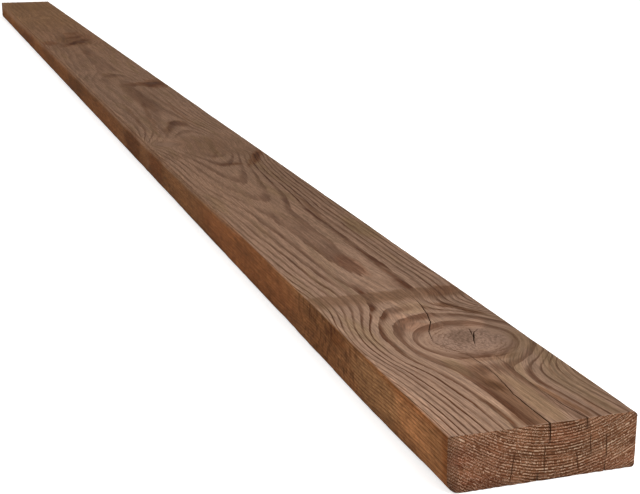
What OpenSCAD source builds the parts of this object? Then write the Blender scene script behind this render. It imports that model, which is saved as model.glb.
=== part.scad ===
// Preservative treated softwood plank, sawn from one log and planed to a stock section.
// It lies flat: X runs along the grain, Y across the wide face, Z up through the thickness.
// The origin is on the underside, midway along and across. The end at +X has dried and split.

/* [Stock section] */
// Length of the plank, along the grain
plank_length = 3600; // [900:50:6000]
// Width of the wide faces
plank_width = 150; // [120:1:300]
// Thickness between the wide faces
plank_thickness = 44; // [25:1:75]
// Radius that eases the four long edges
arris_radius = 3; // [0.5:0.25:8]

/* [End splits] */
// Mouth of the main split, where it opens on the sawn end
main_split_width = 1.3; // [0.3:0.1:4]
// Depth of the main split at the sawn end
main_split_depth = 15; // [3:0.5:18]
// Distance of the main split from the middle of the sawn end
main_split_offset = 4; // [-15:0.5:10]
// Mouth of the lesser split beside it
side_split_width = 0.7; // [0.3:0.1:3]
// Depth of the lesser split at the sawn end
side_split_depth = 9; // [3:0.5:18]
// Distance of the lesser split from the middle of the sawn end
side_split_offset = 34; // [22:0.5:40]
// Mouth of the splits that open on the underside at the sawn end
under_split_width = 0.8; // [0.3:0.1:3]
// Depth of the deeper of the two underside splits
under_split_depth = 13; // [6:0.5:18]
// Distance of the deeper underside split from the middle of the sawn end
under_split_offset = 50; // [30:0.5:50]

/* [Knot checks] */
// Distance of the large knot's heart from the split end
knot_from_end = 190; // [180:1:600]
// Distance of the knot's heart from the middle of the width
knot_offset = 30.5; // [10:0.5:40]
// Widest opening of the star-shaped check in the knot's heart
star_check_width = 1.2; // [0.3:0.1:3]
// Depth of the star-shaped check
star_check_depth = 7; // [2:0.5:16]
// Widest opening of the check that curves round the knot
ring_check_width = 1; // [0.3:0.1:3]
// Depth of the check that curves round the knot
ring_check_depth = 7; // [2:0.5:16]

/* [Hidden] */

// Sides of the circles that round the section
arc_sides = 48;
// How far a split's cutter stands past the faces that it breaks
overcut = 1;
// Share of a split's size that is left where it runs out
runout = 0.06;

// Steps along the grain from the sawn end, and across from where each split starts
main_split_run = [[0, 0], [35, -0.6], [60, -0.3], [80, 2.1], [102, 4.3], [126, 4.2], [155, 2.5]];
side_split_run = [[0, 0], [30, -5], [70, -7.5], [105, -7], [138, -6]];
under_split_run = [[0, 0], [22, 0.8], [48, -0.4], [70, 1]];

// The shallower underside split, as shares of the deeper one, and its distance from the middle
shallow_share = 0.5;
shallow_offset = -5;

// Steps along the grain and across, from the knot's heart
star_long_arm = [[-24, -9.3], [-11, -4.9], [0, 0], [9, 4.7], [15.5, 12]];
star_short_arm = [[-4, -2], [10, 2], [19.5, 4]];
ring_check_run = [[-6, -40], [21, -32.7], [45, -21], [68, -15], [95, -10.5], [118, -9]];

wood_colour = [0.55, 0.44, 0.37];

// Distance run along a path of points, up to its point number last
function run_to(path, last) =
    last == 0 ? 0 : run_to(path, last - 1) + norm(path[last] - path[last - 1]);

// Share of the path that is behind point number i, from 0 to 1
function share(path, i) = run_to(path, i) / run_to(path, len(path) - 1);

// How open a split is at share t: from its mouth to its tip, or between two tips
function from_mouth(t) = runout + (1 - runout) * (1 - t);
function between_tips(t) = runout + (1 - runout) * 4 * t * (1 - t);

// Direction square to a path at its point number i
function across(path, i) =
    let (
        ahead = path[min(i + 1, len(path) - 1)],
        behind = path[max(i - 1, 0)],
        way = (ahead - behind) / norm(ahead - behind)
    )
    [-way[1], way[0]];

// A split's V section: its two lips, carried above the face, and its root
function split_section(place, square_to, half_width, depth) =
    let (lip = half_width * (depth + overcut) / depth)
    [
        [each (place + lip * square_to), plank_thickness + overcut],
        [each (place - lip * square_to), plank_thickness + overcut],
        [each place, plank_thickness - depth]
    ];

// Triangles of a tube with three corners, through sections in order
function tube_faces(sections) = concat(
    [[0, 1, 2]],
    [
        for (i = [0:sections - 2], k = [0:2])
        let (a = 3 * i + k, b = 3 * i + (k + 1) % 3)
        each [[a, a + 3, b], [b, a + 3, b + 3]]
    ],
    [[3 * sections - 1, 3 * sections - 2, 3 * sections - 3]]
);

// Solid that cuts a V split down from the upper face along a path
module split_cutter(path, openness, width, depth) {
    sections = [
        for (i = [0:len(path) - 1])
        let (open = openness[i])
        split_section(path[i], across(path, i), open * width / 2, open * depth)
    ];
    polyhedron([for (s = sections) each s], tube_faces(len(path)));
}

// Split that opens on the sawn end: its path starts past the end face
module end_split(offset, run, width, depth) {
    start = [plank_length / 2, offset];
    path = [for (step = run) start + [-step[0], step[1]]];
    mouth = start + [overcut, 0];
    openness = [for (i = [0:len(path) - 1]) from_mouth(share(path, i))];
    split_cutter([mouth, each path], [1, each openness], width, depth);
}

// Turns a cut that is made from the upper face into one from the underside
module from_below() {
    translate([0, 0, plank_thickness]) mirror([0, 0, 1]) children();
}

// Check in the face that closes at both ends, placed from the knot's heart
module face_check(run, width, depth) {
    heart = [plank_length / 2 - knot_from_end, knot_offset];
    path = [for (step = run) heart + [-step[0], step[1]]];
    openness = [for (i = [0:len(path) - 1]) between_tips(share(path, i))];
    split_cutter(path, openness, width, depth);
}

// The planed section with its four eased corners
module section() {
    half_y = plank_width / 2 - arris_radius;
    half_z = plank_thickness / 2 - arris_radius;
    square([plank_width, 2 * half_z], center = true);
    square([2 * half_y, plank_thickness], center = true);
    for (y = [-half_y, half_y], z = [-half_z, half_z])
        translate([y, z]) circle(arris_radius, $fn = arc_sides);
}

// Whole stock, before it split
module stock() {
    translate([0, 0, plank_thickness / 2])
        rotate([90, 0, 90])
            linear_extrude(plank_length, center = true) section();
}

module plank() {
    color(wood_colour) difference() {
        stock();
        end_split(main_split_offset, main_split_run, main_split_width, main_split_depth);
        end_split(side_split_offset, side_split_run, side_split_width, side_split_depth);
        from_below() {
            end_split(under_split_offset, under_split_run, under_split_width, under_split_depth);
            end_split(
                shallow_offset,
                shallow_share * under_split_run,
                under_split_width,
                shallow_share * under_split_depth
            );
        }
        face_check(star_long_arm, star_check_width, star_check_depth);
        face_check(star_short_arm, star_check_width, star_check_depth);
        face_check(ring_check_run, ring_check_width, ring_check_depth);
    }
}

plank();
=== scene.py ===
"""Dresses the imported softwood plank: its grain, knots, drying splits and wear, on a pale studio floor."""

import functools
import math
from types import SimpleNamespace

import bmesh
import bpy
import numpy as np
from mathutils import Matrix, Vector


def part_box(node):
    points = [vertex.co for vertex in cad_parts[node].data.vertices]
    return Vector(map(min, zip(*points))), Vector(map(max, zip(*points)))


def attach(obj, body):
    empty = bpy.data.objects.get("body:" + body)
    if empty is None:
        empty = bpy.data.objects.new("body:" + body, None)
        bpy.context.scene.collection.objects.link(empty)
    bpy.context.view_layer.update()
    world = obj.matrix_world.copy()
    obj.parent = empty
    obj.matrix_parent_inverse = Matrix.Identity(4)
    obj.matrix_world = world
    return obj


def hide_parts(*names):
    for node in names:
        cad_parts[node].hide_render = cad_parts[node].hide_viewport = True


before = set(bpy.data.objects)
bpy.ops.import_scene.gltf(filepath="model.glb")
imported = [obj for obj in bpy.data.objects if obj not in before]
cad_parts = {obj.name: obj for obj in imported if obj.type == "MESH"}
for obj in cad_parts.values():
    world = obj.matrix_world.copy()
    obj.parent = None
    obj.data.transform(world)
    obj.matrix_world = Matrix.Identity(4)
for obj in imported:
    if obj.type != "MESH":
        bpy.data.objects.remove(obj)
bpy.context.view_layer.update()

bl_info = {
    "name": "Treated softwood plank",
    "version": (1, 0, 0),
    "blender": (4, 5, 0),
    "location": "3D View > Sidebar > Timber",
    "description": "Models one weathered plank of treated softwood with rings that run through the wood",
    "category": "Object",
}

MM = 0.001
NODE = "plank"
PIECE = "weathered_plank"
# Width in pixels of the picture that the focal length is measured in
IMAGE_WIDTH = 640

LOW, HIGH = (Vector(corner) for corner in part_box(NODE))
LENGTH = (HIGH.x - LOW.x) / MM
WIDTH = (HIGH.y - LOW.y) / MM
THICKNESS = (HIGH.z - LOW.z) / MM
HALF_WIDTH = WIDTH / 2
# Radius in millimetres of the eased long edges
ARRIS = 3.0

# Curves along the plank are lists of points: millimetres from the split end, then the value there

# Number of the ring at the crown of the arch on the upper face
CROWN = [
    (-60, 41.0), (0, 41.0), (60, 41.08), (110, 41.12), (135, 41.0), (155, 40.6), (190, 40.3),
    (215, 40.6), (232, 41.0), (260, 42.0), (284, 42.75), (310, 43.15), (345, 43.25), (379, 43.0),
    (480, 42.75), (600, 42.6), (675, 42.35), (706, 42.0), (808, 41.0), (934, 40.0), (1065, 39.4),
    (1190, 40.0), (1302, 41.0), (1425, 41.62), (1640, 41.9), (1740, 41.95), (1795, 42.1), (1835, 42.6),
    (1870, 43.1), (2100, 43.6), (2400, 43.9), (2520, 44.1), (2700, 44.3), (3200, 44.8), (3660, 45.2),
]
# Rings that close round the large knot: their middle in millimetres along and across, the number of
# the first, its radius and the rings' spacing, each across the grain and then along it
CLOSED_MIDDLE = (184, 20)
CLOSED_NUMBER = 41
CLOSED_RADIUS = (45, 49)
CLOSED_SPACING = (9, 27)
# Where the log's heart lies across the plank, in millimetres from its middle
HEART_LINE = [
    (-60, 11), (0, 11), (100, 10), (200, 15), (300, 10), (384, 2), (560, -3), (716, -6), (816, -7),
    (940, -3), (1190, 5), (1309, 3), (1800, -3), (2500, 8), (3660, 5),
]
# How far in millimetres the rings left and right of the heart swing out round the large knot
LEFT_SWING = [
    (-60, 0), (0, 0), (60, 0.5), (100, 3), (150, 9), (190, 13), (230, 14), (300, 11), (360, 7),
    (450, 3), (600, 0), (3660, 0),
]
RIGHT_SWING = [
    (-60, 0), (0, 0), (40, -4), (80, -8), (110, -5), (150, 4), (190, 9), (225, 3), (255, -7), (285, -9),
    (315, 0), (345, 5), (420, 6), (600, 6), (700, 5), (850, 0), (3660, 0),
]
# How flat the arch is left of the heart, as a share of its shape at the split end
LEFT_FLATNESS = [
    (-60, 1), (0, 1), (220, 1), (375, 0.86), (500, 0.76), (700, 0.66), (1000, 0.6), (1250, 0.5),
    (1450, 0.34), (1900, 0.34), (2400, 0.5), (3660, 0.5),
]
# Knots: millimetres from the split end and from the middle, radius, rings lifted, reach of the lift,
# and how plain the knot is
KNOTS = [
    (182, 23, 29, 0.3, 40, 1.0),
    (1105, -46, 17, 1.8, 75, 0.35),
    (1040, 78, 16, 2.4, 80, 0.3),
    (1712, 50, 13, 1.6, 34, 0.6),
    (2440, 24, 15, 1.6, 45, 0.4),
    (3060, -30, 12, 1.4, 40, 0.3),
]
# Dark bars that stacking sticks left across the wide faces: millimetres from the split end, width,
# and strength
STICK_STAINS = [(315, 30, 0.95), (1012, 40, 0.25), (1708, 44, 0.14), (2400, 50, 0.18), (3095, 50, 0.12)]
# Blotches on the upper face: millimetres along and across, half length, half width, slant, shade,
# and tint, which is olive above zero and red below it
BLOTCHES = [
    # Streaks at the split end
    (32, -5, 70, 11, 0, -0.36, -0.22), (99, -1, 34, 13, 0, -0.31, -0.12), (40, -1, 56, 5, 0, -0.05, 0),
    (38, -19.5, 50, 3.5, 0, 0.2, 0), (45, 14, 60, 9, 0, -0.1, 0.4),
    (38, 32.5, 46, 3.6, -0.16, -0.34, -0.4),
    # Pale streaks along the left edge, painted highlights where the rounded edge and the raised grain catch
    # the light
    (60, -73.5, 90, 1.6, 0, 0.38, -0.1), (50, -69, 70, 1.2, 0, 0.3, 0), (40, -64.8, 60, 1.2, 0, 0.2, 0),
    (300, -73, 160, 1.2, 0, 0.12, 0),
    # Round the large knot and beside it
    (190, 20, 18, 11, 0.2, -0.3, 0), (168, 40, 20, 16, 0, 0.04, 0), (218, 44, 15, 13, 0, 0.32, -0.1),
    (138, 20, 9, 28, 0, -0.2, -0.1), (222, -2, 8, 16, 0, 0, -0.4), (236, -2, 5, 16, 0, 0.2, 0),
    (250, 0, 12, 22, 0, 0.04, -0.2), (228, -58, 48, 10, 0, 0, 0.45), (125, -14, 26, 8, 0, 0, 0.5),
    (272, 10, 16, 18, 0, 0.14, 0.3), (260, 48, 32, 5, -0.58, -0.36, -0.5),
    (150, 66, 50, 10, 0, -0.04, 0.4), (60, 62, 70, 12, 0, 0.03, 0.35), (20, 60, 30, 14, 0, -0.02, -0.3),
    # By the first stick and beyond it
    (315, 0, 20, 26, 0, -0.08, 0), (315, 54, 18, 20, 0, 0, -0.5), (358, 3, 18, 22, 0, -0.06, 0),
    (425, 2, 44, 11, 0, -0.04, -0.5), (560, 60, 60, 14, 0, 0, 0.6),
    (430, 28.5, 120, 2.2, 0.005, -0.14, -0.3), (650, 35, 110, 2.2, 0.06, -0.2, -0.2),
    (720, -66, 60, 8, 0, 0, 0.35),
    # By the second stick, a metre along
    (936, 6, 12, 18, 0, -0.24, -0.5), (957, 42, 50, 2.8, 0.385, -0.2, -0.9),
    (964, 50, 44, 2.6, 0.32, -0.2, -0.9), (973, 58, 38, 2.6, 0.24, -0.2, -0.9),
    (978, 59, 42, 6.5, 0.4, -0.2, -1), (1000, 2.5, 34, 3.5, 0.35, -0.16, -0.2),
    (1140, -42, 40, 11, -0.6, 0.12, 0), (1090, 40, 90, 30, 0, -0.08, 0),
    (1085, 0, 70, 40, 0, -0.08, -0.1),
    # Bands between the second stick and the third
    (1345, -27, 170, 5, 0.11, -0.15, -0.2), (1362, -50, 150, 3.2, 0.04, -0.12, -0.2),
    (1340, -38, 150, 4, 0.07, 0.07, 0), (1380, 27, 130, 3.6, 0, -0.1, -0.2),
    (1270, 6, 30, 15, 0, -0.16, -0.3), (1235, -16, 62, 7, 0.27, -0.2, -0.3),
    (1550, -8, 170, 16, 0, -0.18, -0.2), (1560, 14, 150, 14, 0, -0.08, 0),
    # By the third stick and beyond it
    (1704, 34, 28, 42, 0, -0.19, -0.5), (1700, 58, 58, 30, 0, -0.18, -0.5),
    (1775, -10, 40, 40, 0, -0.07, 0), (1842, -12, 40, 16, 0, -0.16, -0.2),
    (2215, -3, 60, 9, 0, -0.15, -0.2),
    # Towards the plain end
    (2430, -60, 44, 20, 0, -0.14, -0.6), (2385, -22, 60, 13, 0.45, -0.1, -0.4),
    (2431, 10, 60, 17, 0.49, -0.23, -0.3), (2500, 14, 140, 46, 0.15, -0.13, -0.3),
    (2538, 12, 44, 16, 0.41, -0.2, -0.4), (2632, 18, 36, 17, 0.8, -0.14, -0.4),
    (3420, 0, 150, 76, 0, -0.1, 0.1),
]
# Blotches on the narrow edges: millimetres along and up, half length, half height, slant, shade and tint
EDGE_BLOTCHES = [
    (0, 22, 16, 40, 0, -0.22, -0.4), (58, 28, 54, 14, 0, 0.3, 0.05), (150, 22, 62, 22, 0, 0.08, 0.6),
    (90, 42, 110, 4, 0, -0.2, -0.3), (250, 36, 26, 10, 0, -0.2, -0.2), (285, 24, 52, 30, 0, -0.14, 0),
    (560, 22, 230, 30, 0, 0.02, -0.6), (1055, 22, 50, 34, 0, -0.1, -0.6),
    (1140, 22, 40, 40, 0, 0.08, 0), (1240, 24, 66, 34, 0, -0.22, -0.4),
    (1480, 22, 140, 30, 0, 0.04, -0.2), (1900, 22, 110, 30, 0, -0.1, 0.2),
    (2350, 22, 200, 30, 0, 0.02, 0), (2770, 22, 130, 30, 0, -0.12, -0.2), (3250, 24, 80, 20, 0, 0.1, 0),
]
# Dark flecks that dried on the narrow edges: millimetres along and up, half length, half height, slant,
# and strength
EDGE_FLECKS = [(272, 22, 110, 44, 0, 0.62), (120, 22, 150, 40, 0, 0.2), (700, 10, 420, 14, 0, 0.25)]
# Blotches on the split end: millimetres across and up, half width, half height, slant, shade and tint
END_BLOTCHES = [
    (-66, 27, 10, 8, 0, -0.06, -0.3), (73, 20, 6, 20, 0, -0.06, -0.2), (14, 33, 16, 8, 0, -0.02, -0.25),
    # The dark blotches low and to the left are partly painted shade by the lower left corner
    (45, 5, 34, 7, 0, -0.05, -0.25), (-54, 3, 30, 8, 0, -0.18, -0.3), (-8, 38, 26, 6, 0, 0.08, 0),
    (-50, 22, 30, 22, 0, -0.09, -0.25),
]
# Where the figure is dim: millimetres along and across, half length, half width, slant, and the share
# that is hidden, which is below zero where the figure stands out
DIM_AREAS = [
    (1085, 5, 95, 62, 0, 0.85), (1110, -50, 60, 30, 0, 0.4), (1100, 50, 110, 30, 0, 0.7),
    (80, 58, 150, 22, 0, 0.25), (186, 24, 30, 30, 0, 0.5), (303, 8, 30, 28, 0, 0.75),
    (1720, 40, 40, 40, 0, 0.3), (430, 0, 70, 14, 0, 0.22), (570, -2, 110, 18, 0, 0.35),
    (400, -27, 90, 9, 0, 0.45), (720, -45, 190, 34, 0, 0.4), (1600, -42, 480, 40, 0, 0.5),
    (760, 46, 190, 26, 0, -0.5), (1860, 50, 520, 36, 0, 0.5),
]
# Shade along the wide faces and along the narrow edges, which are palest at the split end: partly the
# wood's own tone and partly painted shade where the light falls off along the plank
FACE_SHADE = [
    (-60, 0), (0, 0), (150, -0.02), (280, -0.08), (345, -0.14), (600, -0.29), (1000, -0.35),
    (1500, -0.36), (2000, -0.33), (2600, -0.34), (3100, -0.26), (3660, -0.26),
]
EDGE_SHADE = [
    (-60, 0.09), (0, 0.09), (90, 0.07), (200, -0.04), (350, -0.12), (700, -0.21), (1000, -0.27),
    (1300, -0.33), (1500, -0.36), (2200, -0.36), (3660, -0.3),
]
# Share of the figure that still shows along the plank
FIGURE = [
    (-60, 1.1), (0, 1.1), (120, 1.06), (300, 1), (500, 0.9), (700, 0.78), (1000, 0.8), (1300, 0.75),
    (1600, 0.56), (1850, 0.6), (2050, 0.45), (2400, 0.38), (3660, 0.34),
]
# How far the rings' dark bands spread where the saw ran along them
BAND_SPREAD = [(-60, 1), (0, 1), (560, 1), (680, 0.5), (1100, 0.5), (1240, 0.9), (1420, 1), (3660, 1)]
# Hairline checks on the upper face: points in millimetres from the split end and from the middle, width
# and strength
FACE_CHECKS = [
    ([(126, 8.2), (150, 5.5), (168, -2.5), (186, -9)], 0.8, 0.7),
    ([(0, 24.5), (60, 26), (142, 27)], 0.8, 0.55),
]
# Hairline checks on the split end: points in millimetres up and from the middle, width and strength
END_CHECKS = [
    ([(3, -27.4), (11, -26), (25, -24)], 0.8, 0.9), ([(5, 0.6), (28, -0.2)], 0.8, 0.9),
    ([(2, 28.2), (20, 25.5)], 0.8, 0.9), ([(14, 38), (33, 36.5)], 0.8, 0.9),
    ([(10, 51), (31, 50.2)], 0.8, 0.9), ([(29, 4.1), (38, 3.9)], 0.9, 1.0),
]
# Width over which a bump reads its height, which is the node's own default
BUMP_FILTER = 0.1


def linear(code):
    """Linear colour of an sRGB hex code."""
    parts = [int(code[i:i + 2], 16) / 255 for i in (1, 3, 5)]
    return tuple(c / 12.92 if c <= 0.04045 else ((c + 0.055) / 1.055) ** 2.4 for c in parts)


def colour(name, description, code):
    """Colour property with an sRGB default."""
    return bpy.props.FloatVectorProperty(
        name=name, description=description, subtype="COLOR", size=3, min=0, max=1, default=linear(code)
    )


def length(name, description, millimetres):
    """Length property with a default in millimetres."""
    return bpy.props.FloatProperty(
        name=name, description=description, unit="LENGTH", min=0, precision=5, default=millimetres * MM
    )


class PlankGrain(bpy.types.PropertyGroup):
    """Sizes of the wood's figure and wear."""

    ring_width: length("Ring width", "Thickness of one year's growth", 3.2)
    arch_height: length("Arch height", "Height of the log's heart over the upper face", 95)
    raised_grain: length("Raised grain", "How far latewood stands over the worn earlywood", 0.3)
    edge_wear: length("Edge wear", "Deepest wear along the eased edges", 0.5)
    end_roughness: length("End roughness", "Depth of the saw's marks on the ends", 0.35)
    fibre_width: length("Fibre width", "Width of the streaks that the fibres draw", 1.3)


class PlankColours(bpy.types.PropertyGroup):
    """Colours of the treated wood."""

    earlywood: colour("Earlywood", "Pale wood of spring growth", "#A98A75")
    latewood: colour("Latewood", "Dense wood of summer growth", "#5E3B27")
    olive: colour("Olive streak", "Greenish streaks left by the treatment", "#947B59")
    heart: colour("Knot", "Grey brown face of a knot", "#947766")
    # The narrow edges' colours are browner and more orange than the wide faces', partly painted warm bounce
    # light on the shaded side
    edge_early: colour("Edge earlywood", "Pale wood on the narrow edges", "#A0704A")
    edge_late: colour("Edge latewood", "Dense wood on the narrow edges", "#68422A")
    edge_spot: colour("Edge fleck", "Dark flecks on the narrow edges", "#4C2D1A")
    end_early: colour("End earlywood", "Pale wood on the cut ends", "#9C6C50")
    end_late: colour("End latewood", "Dense wood on the cut ends", "#52321F")
    end_fleck: colour("End fleck", "Torn fibre that catches light on the cut ends", "#DDBD9F")
    split: colour("Split", "Wood inside the drying splits", "#4A3020")
    brown_stain: colour("Brown stain", "Filter that the brown treatment lays on the wood", "#FFDDB3")
    red_stain: colour("Red stain", "Filter of the reddest patches", "#FFE4D4")
    end_red: colour("Red end stain", "Filter of the red patches on the cut ends", "#FFDCD7")


class PlankStudio(bpy.types.PropertyGroup):
    """Camera and light of the studio."""

    azimuth: bpy.props.FloatProperty(
        name="Azimuth",
        description="Camera's turn round the plank",
        subtype="ANGLE",
        default=math.radians(71.818),
    )
    elevation: bpy.props.FloatProperty(
        name="Elevation",
        description="Camera's tilt over the plank",
        subtype="ANGLE",
        default=math.radians(15.708),
    )
    place: bpy.props.FloatVectorProperty(
        name="Place",
        description="Camera's place",
        subtype="XYZ",
        unit="LENGTH",
        default=(2.56359, -0.42117, 0.41682),
    )
    focal: bpy.props.FloatProperty(
        name="Focal length",
        description="In pixels of a 640 pixel wide picture",
        default=1293.7,
    )
    floor: colour("Floor", "Pale studio floor", "#F4F4F2")
    glow: bpy.props.FloatProperty(
        name="Floor glow",
        description="Light that only the picture sees, so that the floor is white",
        default=0.65,
    )
    sky: bpy.props.FloatProperty(
        name="Sky",
        description="Strength of the even light all round",
        default=0.4,
    )


def through(points, at):
    """Smooth curve through a list of points, read at the given places."""
    places, values = np.array(points, float).T
    slope = np.gradient(values, places)
    i = np.clip(np.searchsorted(places, at) - 1, 0, len(places) - 2)
    step = places[i + 1] - places[i]
    t = np.clip((at - places[i]) / step, 0, 1)
    start = (1 + 2 * t) * (1 - t) ** 2 * values[i] + t * (1 - t) ** 2 * step * slope[i]
    return start + t * t * (3 - 2 * t) * values[i + 1] + t * t * (t - 1) * step * slope[i + 1]


def ease(low, high, value):
    """Smooth step from 0 at low to 1 at high."""
    t = np.clip((value - low) / (high - low), 0, 1)
    return t * t * (3 - 2 * t)


# Large numbers that scatter the cells, the seeds and the bits of a random field, and the shift between seeds
CELL_SCATTER = (73856093, 19349663, 83492791)
SEED_SCATTER = 2654435
BIT_SCATTER = 1274126177
SEED_SHIFT = 17.3
# Half of the largest scattered number
HALF_SCATTER = 0xFFFF / 2


def drift(points, size, seed):
    """Smooth random field from -1 to 1 over points in millimetres, with features of the given sizes."""
    place = points / np.array(size, float) + SEED_SHIFT * seed
    cell = np.floor(place).astype(np.int64)
    part = place - cell
    part = part * part * (3 - 2 * part)
    total = np.zeros(len(points))
    for corner in np.ndindex(2, 2, 2):
        x, y, z = ((cell + np.array(corner)) * np.array(CELL_SCATTER)).T
        mixed = x ^ y ^ z ^ seed * SEED_SCATTER
        mixed = (mixed ^ (mixed >> 13)) * BIT_SCATTER & 0x7FFFFFFF
        mixed = (mixed ^ (mixed >> 16)) & 0xFFFF
        share = np.where(np.array(corner) == 1, part, 1 - part).prod(axis=1)
        total += share * (mixed / HALF_SCATTER - 1)
    return total


# Smallest distance, which keeps divisions finite
TINY = 1e-9
# Depth in millimetres over which the swing round the large knot fades, and where it sets in left and right
SWING_DEPTH = 30
LEFT_START = (6, -24)
RIGHT_START = (10, 32)
# A branch's lean along the plank for each millimetre of depth, and the share by which it moves outward
# over the arch's height
BRANCH_LEAN = 0.25
BRANCH_DRIFT = 0.3
# How far a knot pushes the grain aside, and the distance of wood that is far from any, in the knot's radii
PUSH_REACH = 4.5
NO_KNOT = 9.0
# Distances from the large knot at which its rings start to close and are closed, and how far inward
# they are counted, in rings
CLOSED_REACH = (95, 50)
CLOSED_LEAST = -0.8
# Stretch along the plank, and distance left of the heart, over which the arch grows flat, and the share
# of that flatness that the right side takes
LOOSE_START = (1200, 1600)
FLAT_START = (2, -18)
RIGHT_FLATNESS = 0.7
# How far the rings sway, in rings, how much more where they are loose, and the distance from the heart
# over which the sway sets in, or its share where rings close round the large knot
LONG_SWAY = 0.32
SHORT_SWAY = 0.14
LOOSE_SWAY = 0.5
CALM_HEART = (4, 34)
CLOSED_SWAY = 0.5


def knot_field(along, across, depth, side, arch_height):
    """Bends the grain's line round the knots; also the rings' lift, the nearest knot and its plainness."""
    lift = np.zeros(len(along))
    knot = np.full(len(along), NO_KNOT)
    plain = np.zeros(len(along))
    for knot_along, knot_across, radius, rise, reach, show in KNOTS:
        # A branch leans towards the top of the tree and widens as it leaves the heart
        from_along = along - knot_along - BRANCH_LEAN * depth
        from_across = across - knot_across * (1 + BRANCH_DRIFT * depth / arch_height)
        wide = radius * (1 + depth / arch_height)
        away = np.hypot(from_along, from_across) + TINY
        push = np.minimum(1, (wide / away) ** 2) * np.exp(-((away / (PUSH_REACH * wide)) ** 2))
        side = side - from_across * push
        lift = lift + rise * np.exp(-((away / reach) ** 2))
        plain = np.where(away / wide < knot, show, plain)
        knot = np.minimum(knot, away / wide)
    return side, lift, knot, plain


def closed_rings(along, across, depth):
    """Numbers of the rings that close round the large knot, and how far they take over at each place."""
    middle_along, middle_across = CLOSED_MIDDLE
    from_along = along - middle_along - BRANCH_LEAN * depth
    away = np.hypot(from_along, across - middle_across) + TINY
    lengthwise = (from_along / away) ** 2
    first, spacing = (a + (b - a) * lengthwise for a, b in (CLOSED_RADIUS, CLOSED_SPACING))
    number = CLOSED_NUMBER + np.maximum((away - first) / spacing, CLOSED_LEAST)
    return number, ease(*CLOSED_REACH, away)


def ring_field(points, grain):
    """Rings and knots at points given in millimetres from the split end, from the middle and up."""
    along, across, up = points.T
    depth = THICKNESS - up
    arch_height = grain.arch_height / MM
    near_top = np.exp(-depth / SWING_DEPTH)
    left = ease(*LEFT_START, across) * through(LEFT_SWING, along) * near_top
    right = ease(*RIGHT_START, across) * through(RIGHT_SWING, along) * near_top
    side = across - through(HEART_LINE, along) + left - right
    side, lift, knot, plain = knot_field(along, across, depth, side, arch_height)
    bend = np.hypot(arch_height, side) - arch_height
    flatness = through(LEFT_FLATNESS, along)
    loose = ease(*LOOSE_START, along)
    flattened = np.maximum(ease(*FLAT_START, side), RIGHT_FLATNESS * loose)
    bend = bend * (1 + (flatness - 1) * flattened)
    ring = through(CROWN, along) + (depth + bend) / (grain.ring_width / MM) - lift
    closed, near = closed_rings(along, across, depth)
    calm = ring * (1 - near) + closed * near
    sway = LONG_SWAY * drift(points, (120, 15, 40), 21) + SHORT_SWAY * drift(points, (45, 9, 30), 22)
    sway = sway * (flatness + LOOSE_SWAY * loose)
    sway = sway * np.maximum(ease(*CALM_HEART, np.abs(side)), CLOSED_SWAY * near)
    return {"ring": calm + sway, "calm": calm, "side": side, "knot": knot, "plain": plain}


# Where an oval's rim starts and where it covers fully, in half sizes
OVAL_RIM = (1.2, 0.6)


def cover(along, across, oval):
    """How much a slanted oval covers each point: 1 inside, fading to 0 round its rim."""
    middle_along, middle_across, half_along, half_across, slant = oval
    turn = math.hypot(1, slant)
    by = along - middle_along
    beside = across - middle_across
    lengthwise = (by + slant * beside) / turn / half_along
    crosswise = (beside - slant * by) / turn / half_across
    return ease(*OVAL_RIM, np.hypot(lengthwise, crosswise))


# Shares of a ring at which its summer wood sets in, is dense and ends
SUMMER_START, SUMMER_DENSE, SUMMER_END = 0.35, 0.85, 0.94


def latewood(ring):
    """Share of dense wood at a ring number, from 0 in spring growth to 1 in summer growth."""
    phase = ring - np.floor(ring)
    return ease(SUMMER_START, SUMMER_DENSE, phase) * (1 - ease(SUMMER_END, 1, phase))


# Distance in metres within which a point is already on a cut, and how squarely a face looks along an axis
ON_CUT = 1e-7
SQUARE = 0.999


def cut(bm, faces, place, normal):
    """Cuts the faces along a plane."""
    edges = {edge for face in faces for edge in face.edges}
    verts = {vert for face in faces for vert in face.verts}
    bmesh.ops.bisect_plane(
        bm, geom=[*verts, *edges, *faces], dist=ON_CUT, plane_co=place, plane_no=normal
    )


def facing(bm, axis, sign):
    """Faces that look along a main axis."""
    bm.normal_update()
    return [face for face in bm.faces if face.normal[axis] * sign > SQUARE]


def lines_between(low, high, step):
    """Evenly spaced places strictly between two limits, about a step apart."""
    count = max(1, round((high - low) / step))
    return [low + (high - low) * i / count for i in range(1, count)]


# Distance in metres at which points are merged, and the angle up to which faces count as one
MERGE = 1e-6
FLAT_ANGLE = math.radians(0.3)
# Strips round each eased edge, the least lean of its faces, and the slack in finding them in millimetres
ARC_STRIPS = 3
LEAST_LEAN = 0.02
ARC_SLACK = 0.1
# Steps of the grid in millimetres: over the upper face, over the underside and up the edges
FACE_STEP = 2.0
UNDER_STEP = 4.0
EDGE_STEP = 2.4
# Length of the stretch that has splits, the step between its cross cuts, and the number of cuts beyond it
SPLIT_REACH = 330.0
NEAR_STEP = 2.6
FAR_CUTS = 345
# How close the cuts beyond the splits start, as a share of their mean step, and how fast the steps grow
FAR_START_SHARE = 0.31
FAR_GROWTH = 1.6
# Length in metres over which an edge is one that still has to be cut
UNCUT_EDGE = 1.0
# Distance in millimetres within which a place counts as on a face
NEAR = 0.01


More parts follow.
